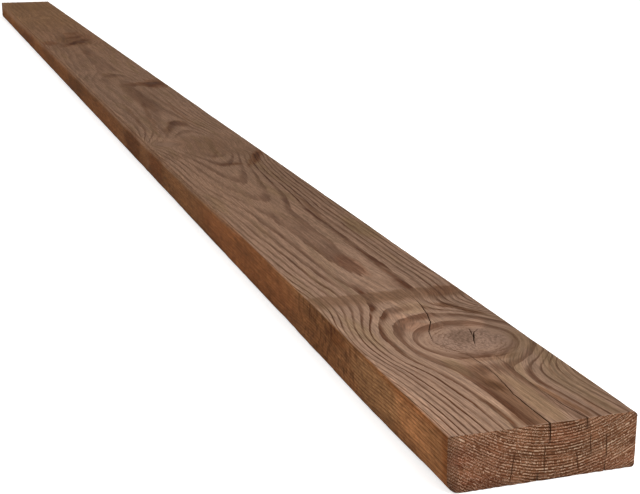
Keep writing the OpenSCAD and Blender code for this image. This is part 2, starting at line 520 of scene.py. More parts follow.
def cut_arcs(bm):
    """Cuts the eased edges into even strips round their arcs."""
    for sign_y in (-1, 1):
        for sign_z in (-1, 1):
            centre = Vector((0, sign_y * (HALF_WIDTH - ARRIS) * MM, 0))
            centre.z = (THICKNESS / 2 + sign_z * (THICKNESS / 2 - ARRIS)) * MM
            for step in range(1, ARC_STRIPS):
                turn = math.radians(90 * step / ARC_STRIPS)
                spoke = Vector((0, sign_y * math.cos(turn), sign_z * math.sin(turn)))
                bm.normal_update()
                rounded = [
                    face for face in bm.faces
                    if face.normal.y * sign_y > LEAST_LEAN and face.normal.z * sign_z > LEAST_LEAN
                    and abs(face.calc_center_median().y) > (HALF_WIDTH - ARRIS - ARC_SLACK) * MM
                ]
                cut(bm, rounded, centre, spoke.cross(Vector((1, 0, 0))))


def cut_lengthwise(bm):
    """Cuts the flat faces and the ends into strips, more finely above than below."""
    flat_y = HALF_WIDTH - ARRIS
    for sign, step in ((1, FACE_STEP), (-1, UNDER_STEP)):
        for place in lines_between(-flat_y, flat_y, step):
            wide = facing(bm, 2, sign) + facing(bm, 0, sign)
            cut(bm, wide, Vector((0, place * MM, 0)), Vector((0, 1, 0)))
    for place in lines_between(ARRIS, THICKNESS - ARRIS, EDGE_STEP):
        narrow = [face for axis in (1, 0) for sign in (1, -1) for face in facing(bm, axis, sign)]
        cut(bm, narrow, Vector((0, 0, place * MM)), Vector((0, 0, 1)))


def cut_crosswise(bm):
    """Cuts the plank across: plane by plane where the splits are, and ever more widely beyond them."""
    for place in lines_between(0, SPLIT_REACH, NEAR_STEP) + [SPLIT_REACH]:
        cut(bm, list(bm.faces), Vector((HIGH.x - place * MM, 0, 0)), Vector((1, 0, 0)))
    limit = HIGH.x - (SPLIT_REACH - 1) * MM
    long_edges = [
        edge for edge in bm.edges
        if max(edge.verts[0].co.x, edge.verts[1].co.x) < limit
        and abs(edge.verts[0].co.x - edge.verts[1].co.x) > UNCUT_EDGE
    ]
    bmesh.ops.subdivide_edges(bm, edges=long_edges, cuts=FAR_CUTS, use_grid_fill=True)
    span = LENGTH - SPLIT_REACH
    for vert in bm.verts:
        past = (HIGH.x - vert.co.x) / MM - SPLIT_REACH
        if 0 < past < span - NEAR:
            share = past / span
            share = FAR_START_SHARE * share + (1 - FAR_START_SHARE) * share ** FAR_GROWTH
            vert.co.x = HIGH.x - (SPLIT_REACH + share * span) * MM


def sawn_mesh():
    """Copy of the plank's solid, cut into a fine grid that is closest at the split end."""
    bm = bmesh.new()
    bm.from_mesh(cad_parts[NODE].data)
    bmesh.ops.remove_doubles(bm, verts=bm.verts, dist=MERGE)
    bmesh.ops.dissolve_limit(bm, angle_limit=FLAT_ANGLE, verts=bm.verts, edges=bm.edges)
    cut_arcs(bm)
    cut_lengthwise(bm)
    cut_crosswise(bm)
    return bm


# Kinds of shader node whose settings are always the same here; any other kind goes by its own name
KINDS = {
    "ease": ("MapRange", {"interpolation_type": "SMOOTHSTEP"}),
    "slope": ("MapRange", {"interpolation_type": "LINEAR"}),
    "mix": ("Mix", {"data_type": "RGBA"}),
    "stain": ("Mix", {"data_type": "RGBA", "blend_type": "MULTIPLY"}),
    "scale": ("VectorMath", {"operation": "MULTIPLY"}),
    "random": ("TexWhiteNoise", {"noise_dimensions": "1D"}),
}
ARITHMETIC = (
    "add", "subtract", "multiply", "multiply_add", "fract", "floor", "absolute", "maximum", "greater_than",
)
KINDS.update({name: ("Math", {"operation": name.upper()}) for name in ARITHMETIC})

# Places of the outputs that are read from nodes with several
FACTOR, OBJECT_PLACE = 2, 3


def add(tree, kind, *values, out=0, **settings):
    """Adds a node with its settings, fills or links its sockets in order, and gives back one output."""
    name, fixed = KINDS.get(kind, (kind, {}))
    made = tree.nodes.new("ShaderNode" + name)
    for setting, value in {**fixed, **settings}.items():
        setattr(made, setting, value)
    for socket, value in zip([socket for socket in made.inputs if socket.enabled], values):
        if isinstance(value, bpy.types.NodeSocket):
            tree.links.new(value, socket)
        else:
            socket.default_value = value
    return [socket for socket in made.outputs if socket.enabled][out] if made.outputs else made


def new_material(name):
    """Empty node material, the maker of its nodes and the sockets of its shader."""
    material = bpy.data.materials.new(name)
    material.use_nodes = True
    material.node_tree.nodes.clear()
    node = functools.partial(add, material.node_tree)
    shader = node("BsdfPrincipled")
    node("OutputMaterial", shader)
    return material, node, shader.node.inputs


def per_mm(*sizes):
    """Scale of a pattern whose features have the given sizes in millimetres."""
    return [1 / (size * MM) for size in sizes]


def opaque(value):
    """Colour with full alpha."""
    return (*value, 1.0)


def seen(node):
    """1 for the rays that meet the white background: from the camera, off gloss and through glass."""
    path = node("LightPath").node.outputs
    bent = node("maximum", path["Is Glossy Ray"], path["Is Transmission Ray"])
    return node("maximum", path["Is Camera Ray"], bent)


def attributes(node, *names):
    """The piece's own values at each place, by name."""
    return {name: node("Attribute", out=FACTOR, attribute_name=name) for name in names}


# Range in which nearly all of a noise pattern lies
NOISE = (0.3, 0.7)
# Refraction of wood, the levels of gloss of its worn faces and of torn splits, and their roughness:
# spring and summer wood, cross-cut ends and splits
WOOD_IOR = 1.5
WORN_GLOSS, TORN_GLOSS = 0.04, 0.1
SPRING_ROUGHNESS, SUMMER_ROUGHNESS = 0.88, 0.75
END_ROUGHNESS, SPLIT_ROUGHNESS = 0.9, 0.95
# Height in metres of the finest relief, which is bump
BUMP_HEIGHT = 0.8 * MM
# Share of a check's width that is wholly dark, and where its ends fade, in millimetres from its tips
CHECK_CORE = 0.3
CHECK_FADE = (-1, 4)


def ring_share(node, place, wander, bands):
    """Share of latewood at each place, with some dark bands to a ring, and a random number for each band."""
    field = attributes(node, "ring", "broad")
    ring = node("multiply", field["ring"], bands)
    quick = node("TexNoise", node("scale", place, per_mm(26, 4, 4)), 1.0)
    bent = node("subtract", node("multiply_add", quick, wander, ring), 0.5 * wander)
    phase = node("fract", bent)
    luck = node("random", node("floor", bent))
    # Where the saw ran along the rings the summer wood comes in slowly and shows as a broad band
    start = node("multiply_add", field["broad"], -0.3, 0.5)
    start = node("multiply_add", luck, 0.18, start)
    full = node("add", start, node("multiply_add", field["broad"], 0.2, 0.25))
    rise = node("ease", phase, start, full)
    fall = node("ease", phase, SUMMER_END, 1.0, 1.0, 0.0)
    return node("multiply", rise, fall), luck


def crack(node, run, beside, points, width):
    """Share of a thin dark line through points, given in millimetres along a run and beside it."""
    line = points[0][1] * MM
    for (start, here), (stop, there) in zip(points, points[1:]):
        line = node("add", line, node("slope", run, start * MM, stop * MM, 0.0, (there - here) * MM))
    off = node("absolute", node("subtract", beside, line))
    drawn = node("ease", off, CHECK_CORE * width * MM, width * MM, 1.0, 0.0)
    first, last = points[0][0], points[-1][0]
    outer, inner = CHECK_FADE
    drawn = node("multiply", drawn, node("ease", run, (first + outer) * MM, (first + inner) * MM))
    return node("multiply", drawn, node("ease", run, (last - inner) * MM, (last - outer) * MM, 1.0, 0.0))


def draw_checks(node, wood, checks, run, beside, where, dark):
    """Draws hairline checks over the wood, each with its points, width and strength."""
    for points, width, strength in checks:
        line = crack(node, run, beside, points, width)
        line = node("multiply", line, node("multiply", where, strength))
        wood = node("mix", line, wood, dark)
    return wood


def wandering(node, pattern, beside, swing):
    """Distance beside a line that a pattern makes wander, by a swing in millimetres to each side."""
    return node("multiply_add", pattern, 2 * swing * MM, node("subtract", beside, swing * MM))


def set_gloss(shader, level):
    """Gives a shader the refraction of wood and a level of gloss."""
    shader["IOR"].default_value = WOOD_IOR
    shader["Specular IOR Level"].default_value = level


def wide_face(node, colours, flow, field, dense):
    """Colour of the wide faces: spring wood from pinkish brown to the treatment's olive, with dark bands."""
    patch = node("TexNoise", node("scale", flow, per_mm(160, 20, 20)), 1.0)
    olive = node("maximum", node("ease", patch, 0.5, 0.72, 0.0, 0.4), field["tint"])
    early = node("mix", olive, opaque(colours.earlywood), opaque(colours.olive))
    return node("mix", dense, early, opaque(colours.latewood))


def narrow_edge(node, colours, place, field, dense):
    """Colour of the narrow edges: browner, partly painted warm bounce light on the shaded side, with fainter
    bands, mottled, clouded and flecked.
    """
    olive = node("multiply", field["tint"], 0.5)
    early = node("mix", olive, opaque(colours.edge_early), opaque(colours.olive))
    wood = node("mix", node("multiply", dense, 0.65), early, opaque(colours.edge_late))
    mottle = node("TexNoise", node("scale", place, per_mm(18, 18, 7)), 1.0, 4.0, 0.65)
    wood = node("stain", 1.0, wood, node("ease", mottle, *NOISE, 0.82, 1.16))
    cloud = node("TexNoise", node("scale", place, per_mm(140, 140, 26)), 1.0)
    wood = node("stain", 1.0, wood, node("ease", cloud, 0.35, 0.65, 0.84, 1.14))
    spot = node("TexNoise", node("scale", place, per_mm(5, 30, 8)), 1.0)
    spot = node("multiply", node("ease", spot, 0.48, 0.66, 0.0, 0.9), field["fleck"])
    return node("mix", spot, wood, opaque(colours.edge_spot))


def knot_face(node, colours, place, field, wood):
    """Lays the knots over the wood: greyer and speckled, with close broken rings of their own."""
    grit = node("TexNoise", node("scale", place, per_mm(4.5, 2.4, 2.4)), 1.0, 3.0, 0.7)
    heart = node("stain", 1.0, opaque(colours.heart), node("ease", grit, 0.38, 0.62, 0.62, 1.38))
    wood = node("mix", field["inside"], wood, heart)
    drawn = node("fract", node("multiply_add", field["knot"], 6.5, node("multiply", grit, 1.6)))
    drawn = node("multiply", node("ease", drawn, 0.5, 0.85), node("ease", drawn, 0.9, 1.0, 1.0, 0.0))
    around = node("ease", field["knot"], 0.3, 0.6)
    around = node("multiply", around, node("ease", field["knot"], 1.25, 1.75, 1.0, 0.0))
    broken = node("TexNoise", node("scale", place, per_mm(22, 14, 14)), 1.0)
    around = node("multiply", around, node("ease", broken, 0.4, 0.6, 0.0, 0.6))
    return node("mix", node("multiply", drawn, around), wood, opaque(colours.latewood))


def long_grain_material(colours, grain):
    """Planed and weathered softwood: dark summer bands on pale spring wood, dull, with raised fibres."""
    material, node, shader = new_material("weathered_treated_softwood")
    field = attributes(
        node, "inside", "knot", "narrow", "shade", "tint", "brown", "figure", "side", "fleck"
    )
    # Fibres follow the rings round the knots, so the patterns run along the grain's own line
    place = node("TexCoord", out=OBJECT_PLACE)
    along, across, up = node("SeparateXYZ", place).node.outputs
    flow = node("CombineXYZ", along, field["side"], up)
    late, luck = ring_share(node, flow, 0.26, 1.0)
    rubbed = node("TexNoise", node("scale", flow, per_mm(95, 9, 9)), 1.0)
    dense = node("multiply", late, node("multiply_add", luck, 0.45, 0.65))
    dense = node("multiply", dense, node("ease", rubbed, 0.35, 0.6, 0.55, 1.04))
    dense = node("multiply", dense, field["figure"])
    face = wide_face(node, colours, flow, field, dense)
    wood = node("mix", field["narrow"], face, narrow_edge(node, colours, place, field, dense))
    wood = node("stain", node("multiply", field["tint"], -1.0), wood, opaque(colours.red_stain))
    wood = node("stain", field["brown"], wood, opaque(colours.brown_stain))
    # Fibres darken and lighten the wood in fine streaks, except where they turn round a knot
    width = grain.fibre_width / MM
    fibre = node("TexNoise", node("scale", flow, per_mm(60, width, width)), 1.0, 4.0, 0.65)
    hair = node("TexNoise", node("scale", flow, per_mm(9, 0.7, 0.7)), 1.0, 2.0, 0.6)
    streaky = node("ease", field["knot"], 1.0, 2.0, 0.3, 1.0)
    wood = node("stain", streaky, wood, node("ease", fibre, *NOISE, 0.72, 1.24))
    wood = node("stain", streaky, wood, node("ease", hair, *NOISE, 0.80, 1.18))
    wood = knot_face(node, colours, place, field, wood)
    wood = node("stain", 1.0, wood, field["shade"])
    # Hairline checks run on from the open splits
    from_end = node("subtract", HIGH.x, along)
    waver = node("TexNoise", node("scale", place, per_mm(14, 40, 40)), 1.0)
    beside = wandering(node, waver, across, 1)
    on_top = node("greater_than", up, HIGH.z - ARRIS * MM)
    wood = draw_checks(node, wood, FACE_CHECKS, from_end, beside, on_top, opaque(colours.split))
    tree = material.node_tree
    tree.links.new(wood, shader["Base Color"])
    rough = node("ease", dense, 0.0, 1.0, SPRING_ROUGHNESS, SUMMER_ROUGHNESS)
    tree.links.new(rough, shader["Roughness"])
    set_gloss(shader, WORN_GLOSS)
    height = node("multiply_add", fibre, 0.5, node("multiply", dense, 0.9))
    height = node("multiply_add", hair, 0.4, height)
    tree.links.new(node("Bump", 0.7, BUMP_HEIGHT, BUMP_FILTER, height), shader["Normal"])
    return material


def end_grain_material(colours, grain):
    """Cross-cut softwood: close dark rings, torn pale fibre ends and dull open pores."""
    material, node, shader = new_material("cross_cut_softwood")
    place = node("TexCoord", out=OBJECT_PLACE)
    along, across, up = node("SeparateXYZ", place).node.outputs
    field = attributes(node, "ring", "tangent", "shade", "tint")
    # False rings between the years' own are plainer across the grain than along it
    late, luck = ring_share(node, place, 0.24, 1.35)
    patch = node("TexNoise", node("scale", place, per_mm(20, 22, 9)), 1.0)
    rubbed = node("TexNoise", node("scale", place, per_mm(20, 14, 7)), 1.0)
    dense = node("multiply", late, node("multiply_add", luck, 0.25, 0.9))
    dense = node("multiply", dense, node("ease", rubbed, 0.35, 0.6, 0.75, 1.05))
    wood = node("mix", dense, opaque(colours.end_early), opaque(colours.end_late))
    wood = node("stain", 1.0, wood, node("ease", patch, *NOISE, 0.78, 1.22))
    # Torn fibre lies in dashes along the rings
    outward = node("multiply", field["ring"], grain.ring_width)
    curved = node("CombineXYZ", outward, field["tangent"])
    torn = node("TexNoise", node("scale", curved, per_mm(1.1, 3, 1)), 1.0, 1.0, 0.6)
    pale = node("multiply", node("ease", torn, 0.53, 0.65, 0.0, 0.92), node("subtract", 1.0, dense))
    wood = node("mix", pale, wood, opaque(colours.end_fleck))
    wood = node("mix", node("ease", torn, 0.34, 0.48, 0.82, 0.0), wood, opaque(colours.end_late))
    waver = node("TexNoise", node("scale", place, per_mm(40, 40, 7)), 1.0)
    beside = wandering(node, waver, across, 1.5)
    on_split_end = node("greater_than", along, 0.0)
    wood = draw_checks(node, wood, END_CHECKS, up, beside, on_split_end, opaque(colours.split))
    wood = node("stain", node("multiply", field["tint"], -1.0), wood, opaque(colours.end_red))
    wood = node("stain", 1.0, wood, field["shade"])
    tree = material.node_tree
    tree.links.new(wood, shader["Base Color"])
    shader["Roughness"].default_value = END_ROUGHNESS
    set_gloss(shader, WORN_GLOSS)
    tree.links.new(node("Bump", 0.8, BUMP_HEIGHT, BUMP_FILTER, torn), shader["Normal"])
    return material


def split_material(colours):
    """Wood torn open by drying: dark, dull and streaked along the grain."""
    material, node, shader = new_material("split_softwood")
    place = node("TexCoord", out=OBJECT_PLACE)
    fibre = node("TexNoise", node("scale", place, per_mm(30, 1.5, 1.5)), 1.0, 3.0)
    wood = node("stain", 1.0, opaque(colours.split), node("ease", fibre, *NOISE, 0.7, 1.3))
    material.node_tree.links.new(wood, shader["Base Color"])
    shader["Roughness"].default_value = SPLIT_ROUGHNESS
    set_gloss(shader, TORN_GLOSS)
    return material


LONG_GRAIN, END_GRAIN, SPLIT_WALL = range(3)
# Distance in metres from a face within which the middle of a grid face counts as on it, and how squarely
# an end's faces look along the plank
FACE_MARGIN = 0.05 * MM
END_SQUARE = 0.99


def sort_faces(bm):
    """Gives each face its material: long grain, cross-cut end or the wall of a split."""
    bm.normal_update()
    for face in bm.faces:
        middle = face.calc_center_median()
        inside_y = abs(middle.y) <= (HALF_WIDTH - ARRIS) * MM - FACE_MARGIN
        inside_z = FACE_MARGIN < middle.z < HIGH.z - FACE_MARGIN
        if abs(face.normal.x) > END_SQUARE and abs(middle.x) > HIGH.x - FACE_MARGIN:
            face.material_index = END_GRAIN
        elif inside_y and inside_z:
            face.material_index = SPLIT_WALL
        else:
            face.material_index = LONG_GRAIN
        face.smooth = True


# Step in millimetres over which the rings' spacing is read, and the least rise that is divided by
SPACING_STEP = 1.0
LEAST_RISE = 1e-4


def ring_spacing(at, wood, grain):
    """Millimetres from ring to ring over the wide faces."""
    steps = ((SPACING_STEP, 0, 0), (0, SPACING_STEP, 0))
    rise = [ring_field(at + np.array(step), grain)["calm"] - wood["calm"] for step in steps]
    return SPACING_STEP / (np.hypot(*rise) + LEAST_RISE)


def regions(at):
    """Which points lie on the arcs of the eased edges, on the flat faces and on the cut ends."""
    along, across, up = at.T
    past_y = np.abs(across) - (HALF_WIDTH - ARRIS)
    past_z = np.abs(up - THICKNESS / 2) - (THICKNESS / 2 - ARRIS)
    out_y = np.maximum(past_y, 0)
    out_z = np.maximum(past_z, 0)
    return SimpleNamespace(
        crest=np.minimum(past_y, past_z) / ARRIS,
        out_y=out_y,
        out_z=out_z,
        turned=np.arctan2(out_y, out_z + TINY) / (math.pi / 2),
        on_arc=(past_y > -NEAR) & (past_z > -NEAR),
        flat_y=past_y < -NEAR,
        flat_z=past_z < -NEAR,
        on_end=np.abs(LENGTH / 2 - along) > LENGTH / 2 - NEAR,
    )


# Dents along the eased edges: sizes of the long and the short ones, and the share of the short ones
LONG_DENT = (55, 30, 30)
SHORT_DENT = (13, 30, 30)
SHORT_DENT_SHARE = 0.6
# Where on an arc the wear sets in and is full, counted from its crest
WORN_CREST = (-0.25, 0.3)


def wear_arrises(moved, at, zone, grain):
    """Rounds the eased edges onto their arcs, with shallow dents of different lengths."""
    side_y = np.sign(at[:, 1])
    side_z = np.sign(at[:, 2] - THICKNESS / 2)
    reach = np.hypot(zone.out_y, zone.out_z) + TINY
    outer = zone.on_arc & (reach > ARRIS / 2)
    dent = np.maximum(0, drift(at, LONG_DENT, 3))
    dent = dent + SHORT_DENT_SHARE * np.maximum(0, drift(at, SHORT_DENT, 4))
    worn = grain.edge_wear / MM * dent * ease(*WORN_CREST, zone.crest)
    stretch = (ARRIS - worn) / reach
    arc_y = side_y * (HALF_WIDTH - ARRIS + zone.out_y * stretch)
    arc_z = THICKNESS / 2 + side_z * (THICKNESS / 2 - ARRIS + zone.out_z * stretch)
    moved[:, 1] = np.where(outer, arc_y, moved[:, 1])
    moved[:, 2] = np.where(outer, arc_z, moved[:, 2])


# Spacing of the rings, in millimetres, from which the grid carries their relief and carries it fully
CARRIED_SPACING = (3.2, 6)
# Share of latewood at which the face stays level
LEVEL_LATEWOOD = 0.75
# Relief in millimetres of the fibres, of the sunken knots and of the narrow edges
FIBRE_RELIEF = 0.08
KNOT_RELIEF = 0.25
EDGE_RELIEF = 0.12
# Where a knot's sunken face starts and is full, in its radii
KNOT_RIM = (1.3, 0.7)


def raise_grain(moved, at, zone, wood, spacing, grain):
    """Leaves latewood proud of the worn wide faces, sinks the knots and ripples the narrow edges."""
    across, up = at[:, 1], at[:, 2]
    carried = ease(*CARRIED_SPACING, spacing)
    proud = (latewood(wood["ring"]) - LEVEL_LATEWOOD) * grain.raised_grain / MM * carried
    proud = proud + FIBRE_RELIEF * (drift(at, (40, 6, 6), 7) - 1)
    sunk = KNOT_RELIEF * ease(*KNOT_RIM, wood["knot"]) * (1 + drift(at, (4, 4, 4), 5))
    proud = np.minimum(proud - sunk, 0)
    moved[:, 2] += np.where(zone.flat_y & (up > THICKNESS - NEAR), proud, 0)
    moved[:, 2] -= np.where(zone.flat_y & (up < NEAR), proud, 0)
    ripple = EDGE_RELIEF * (drift(at, (30, 5, 5), 8) - 1)
    on_edge = zone.flat_z & (np.abs(across) > HALF_WIDTH - NEAR)
    moved[:, 1] += np.where(on_edge, np.sign(across) * ripple, 0)


# The lower left corner that the split end lost: its depth, and its reach round the corner and along
LOST_DEPTH = 1.3
LOST_ROUND = (9, 2)
LOST_ALONG = (190, 5)
# Wear of the split end's left upright corner and of its upper edge: depth and width, how uneven
# the upper edge is, and the reach of both along the plank
UPRIGHT_DEPTH, UPRIGHT_WIDTH = 3, 3.5
UPPER_DEPTH, UPPER_WIDTH = 1.2, 2.5
UNEVEN = 0.5
WORN_REACH = 10


def wear_ends(moved, at, zone, grain):
    """Knocks off the split end's lower corner, wears its edges round and leaves saw marks on both ends."""
    along, across, up = at.T
    corner = np.hypot(across + HALF_WIDTH, up)
    lost = LOST_DEPTH * ease(*LOST_ROUND, corner) * ease(*LOST_ALONG, along)
    moved[:, 1] += lost
    moved[:, 2] += lost
    upright = UPRIGHT_DEPTH * ease(UPRIGHT_WIDTH - HALF_WIDTH, -HALF_WIDTH, across)
    upper = UPPER_DEPTH * ease(THICKNESS - UPPER_WIDTH, THICKNESS, up)
    upper = upper * (1 + UNEVEN * drift(at, (9, 9, 9), 19))
    moved[:, 0] -= np.maximum(upright, upper) * np.maximum(1 - along / WORN_REACH, 0) ** 2
    rough = grain.end_roughness / MM / 2 * (drift(at, (3, 2.6, 2.6), 9) - 1)
    moved[:, 0] += np.where(zone.on_end, np.sign(moved[:, 0]) * rough, 0)


# How far in millimetres a split wanders over long and over short stretches
LONG_RAG = 0.35
SHORT_RAG = 0.2


def rag_splits(moved, at, bm):
    """Lets the splits wander between the points that lead them."""
    lips = np.zeros(len(at), bool)
    walls = [face for face in bm.faces if face.material_index == SPLIT_WALL]
    lips[[vert.index for face in walls for vert in face.verts]] = True
    line = at * (1, 0, 0)
    ragged = LONG_RAG * drift(line, (9, 9, 9), 11) + SHORT_RAG * drift(line, (4, 4, 4), 12)
    moved[:, 1] += np.where(lips, ragged, 0)


# Where on an arc, from 0 at the wide face to 1 at the edge, the edge's own look sets in and is full
NARROW_START = (0.35, 0.9)
# How far the painted pale strip, a lit copy of the wide face's look, takes the edge's own look away
PALE_SHARE = 0.65
# The painted pale strip on the edges, in millimetres: how far it widens at each of two places along the
# plank, how far it wanders, how soft its rim is near and further along, and the width from which it shows
STRIP_GROWTH = 9
STRIP_WANDER = 2
STRIP_RIM, FAR_STRIP_RIM = 3, 9
STRIP_SHOWS = (2, 6)


def edge_share(at, zone):
    """How far each point has the look of a narrow edge, and how far a painted pale strip, lit like the wide
    face, runs over it there.
    """
    along, up = at[:, 0], at[:, 2]
    flat = np.where(zone.flat_y, 0.0, 1.0)
    narrow = ease(*NARROW_START, np.where(zone.on_arc, zone.turned, flat))
    # The painted pale strip is wider, and its rim softer, towards the plain end
    strip = STRIP_GROWTH * (ease(300, 1000, along) + ease(2300, 3300, along))
    strip = strip + STRIP_WANDER * drift(at, (60, 30, 30), 17)
    soft = STRIP_RIM + FAR_STRIP_RIM * ease(1300, 3000, along)
    pale = ease(-soft, soft, up - THICKNESS + strip) * ease(*STRIP_SHOWS, strip) * narrow
    return narrow - PALE_SHARE * pale, pale


# Spacing of the rings, in millimetres, from which their dark bands broaden and are fully broad
BROAD_SPACING = (6, 15)
# How bright the strip's painted highlight is, as a share of the painted highlight on the upper rounded edges
STRIP_SHINE = 1.3


def weather(bm, grain):
    """Moves the grid's points as wear did, and gives each point's fields and its first place."""
    bm.verts.ensure_lookup_table()
    bm.verts.index_update()
    moved = np.array([vert.co for vert in bm.verts]) / MM
    at = np.column_stack([LENGTH / 2 - moved[:, 0], moved[:, 1], moved[:, 2]])
    zone = regions(at)
    wood = ring_field(at, grain)
    spacing = ring_spacing(at, wood, grain)
    wear_arrises(moved, at, zone, grain)
    raise_grain(moved, at, zone, wood, spacing, grain)
    wear_ends(moved, at, zone, grain)
    rag_splits(moved, at, bm)
    for vert, place in zip(bm.verts, moved):
        vert.co = place * MM
    narrow, pale = edge_share(at, zone)
    arch_height = grain.arch_height / MM
    fields = {
        "ring": wood["ring"],
        "knot": wood["knot"],
        "narrow": narrow,
        "side": wood["side"] * MM,
        "tangent": arch_height * np.arctan2(wood["side"], arch_height) * MM,
        "broad": (1 - narrow) * ease(*BROAD_SPACING, spacing) * through(BAND_SPREAD, at[:, 0]),
    }
    # Painted highlight: brightest midway round the upper rounded edges, and over the pale strip on the edges
    upper_arc = zone.on_arc & (at[:, 2] > THICKNESS / 2)
    painted_highlight = np.where(upper_arc, np.sin(np.clip(zone.turned, 0, 1) * math.pi), STRIP_SHINE * pale)
    return {**fields, **surface_fields(at, zone.on_end, narrow, painted_highlight, wood)}, at


# Shares by which the wood drifts between light and dark, and of the painted highlight on the upper rounded
# edges and the pale strip
SLOW_DRIFT = 0.05
ARRIS_HIGHLIGHT, FAR_ARRIS_HIGHLIGHT = 0.2, 0.12
# Shares by which the wood is darker: painted shadow at the foot of the edges and ends, painted shade at
# the ends' left side, whose rim is in millimetres across, where the rounded corner turns from the light,
# and on the right side of the upper face, by the knot and further along
EDGE_FOOT_SHADOW, END_FOOT_SHADOW = 0.26, 0.2
END_LEFT_SHADE, END_LEFT_SHADE_RIM = 0.26, (-69.5, -73)
FACE_RIGHT, FAR_FACE_RIGHT = 0.25, 0.07


def slow_shade(at, on_end, on_wide, on_edge, upper, painted_highlight):
    """Shade that changes slowly over the faces, edges and ends, partly painted light: highlights on the
    upper rounded edges and the pale strip, and shade at the foot and at the ends' left side.
    """
    along, across, up = at.T
    shade = SLOW_DRIFT * (1 + ease(1200, 2400, along)) * drift(at, (240, 40, 40), 31)
    shade = shade + SLOW_DRIFT * ease(1000, 2000, along) * drift(at, (90, 22, 40), 33)
    # Along the plank the shade is partly the wood's own tone and partly painted shade where the light falls
    # off
    shade = shade + on_wide * through(FACE_SHADE, along) + on_edge * through(EDGE_SHADE, along)
    # Painted highlight on the upper rounded edges and on the pale strip
    shade = shade + (ARRIS_HIGHLIGHT + FAR_ARRIS_HIGHLIGHT * ease(800, 1400, along)) * painted_highlight
    # Painted shadow at the foot of the edges and ends, and painted shade at the ends' left side
    shade = shade - EDGE_FOOT_SHADOW * on_edge * ease(6, 1, up)
    painted_end_shade = END_FOOT_SHADOW * ease(5, 0, up) + END_LEFT_SHADE * ease(*END_LEFT_SHADE_RIM, across)
    shade = shade - np.where(on_end, painted_end_shade, 0)
    shade = shade - FACE_RIGHT * upper * ease(22, 50, across) * ease(500, 200, along)
    further = ease(300, 500, along) * ease(1100, 800, along)
    return shade - FAR_FACE_RIGHT * upper * np.clip(across / 60, -1, 1) * further


# Strength of the brown treatment by the split end, and what is added to it further along
FACE_BROWN, NEXT_FACE_BROWN, FAR_FACE_BROWN = 0.14, 0.2, 0.34
EDGE_BROWN, FAR_EDGE_BROWN = 0.28, 0.4


def brown_treatment(along, on_wide, narrow):
    """Strength of the brown treatment, which grows along the plank."""
    face = FACE_BROWN + NEXT_FACE_BROWN * ease(200, 800, along) + FAR_FACE_BROWN * ease(1500, 3000, along)
    edge = EDGE_BROWN + FAR_EDGE_BROWN * ease(1100, 2000, along)
    return np.maximum(face * on_wide, edge * narrow)


# A stick's stain, in millimetres: its soft near rim, how ragged it is, and how blurred its far rim is near
# and further along
STICK_RIM = (-12, 8)
STICK_RAG = 5
STICK_BLUR, FAR_STICK_BLUR = 3, 14
# How far a stick's stain darkens and browns the wood, and the share of the figure that it hides
STICK_SHADE, STICK_BROWN, STICK_HIDES = 0.3, 0.32, 0.6
# How far in millimetres other stains soak along the fibres, near and further along, and spread across them
SOAK, FAR_SOAK, SPREAD = 8, 18, 3
# Share of the figure that the edges lose, the olive tint of the plain end, and how far a knot's own
# colour covers the wood
EDGE_HIDES = 0.45
FAR_OLIVE = 0.4
KNOT_SHOWS = 0.7
# How ragged a knot's face is, and where it starts and is full, in the knot's radii
KNOT_RAG = 0.2
KNOT_FACE = (1.35, 0.75)
# Shares of the thickness between which the look of the upper face sets in
UPPER_START = (0.4, 0.6)


def stick_cover(past, wide, blur):
    """Cover of a stacking stick's stain: its near rim is soft, and its far rim has the given blur."""
    outer, inner = STICK_RIM
    near_rim = ease(outer - wide / 2, inner - wide / 2, past)
    return near_rim * ease(wide / 2 + blur, wide / 2 - blur, past)


